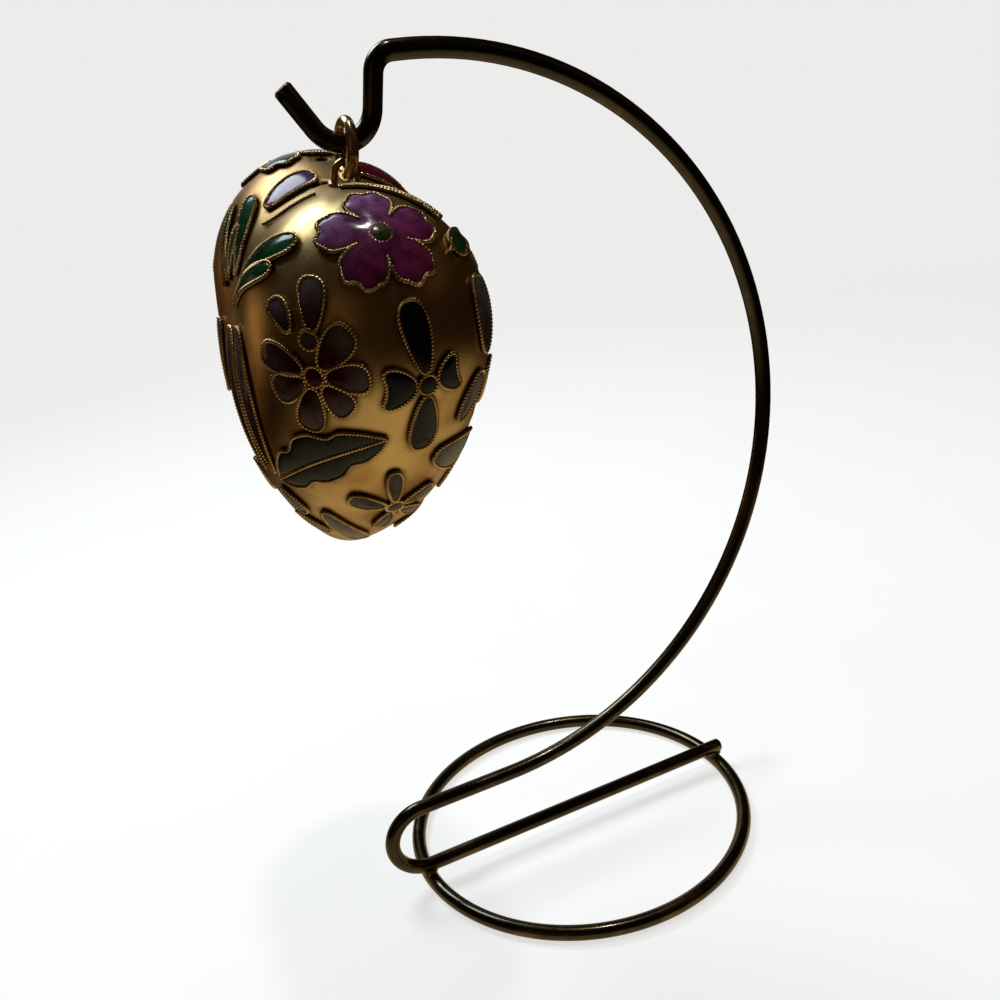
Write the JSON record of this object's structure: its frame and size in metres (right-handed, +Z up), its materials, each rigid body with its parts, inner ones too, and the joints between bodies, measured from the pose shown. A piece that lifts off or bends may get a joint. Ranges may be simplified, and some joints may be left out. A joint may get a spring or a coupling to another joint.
{
  "type": "enamel heart ornament",
  "caption": "Puffed heart in flowered cloisonne enamel, hung by a jump ring from the hook of a bent brass wire stand on a round base ring.",
  "frame": {"origin": "On the table, under the middle of the bounding box.", "axes": "+Z up. X runs along the bar and in the plane of the arch, with the hook at -X. The heart's face looks to -X."},
  "size_m": [0.0856, 0.0626, 0.1279],
  "materials": {
    "stand_brass": "dark antique, glossy",
    "gilt_brass": "satin gilt with glossy enamel"
  },
  "bodies": {
    "root": {"base_ring": "stand_brass", "stand_wire": "stand_brass", "jump_ring": "gilt_brass", "eyelet": "gilt_brass", "heart": "gilt_brass"}
  },
  "joints": []
}
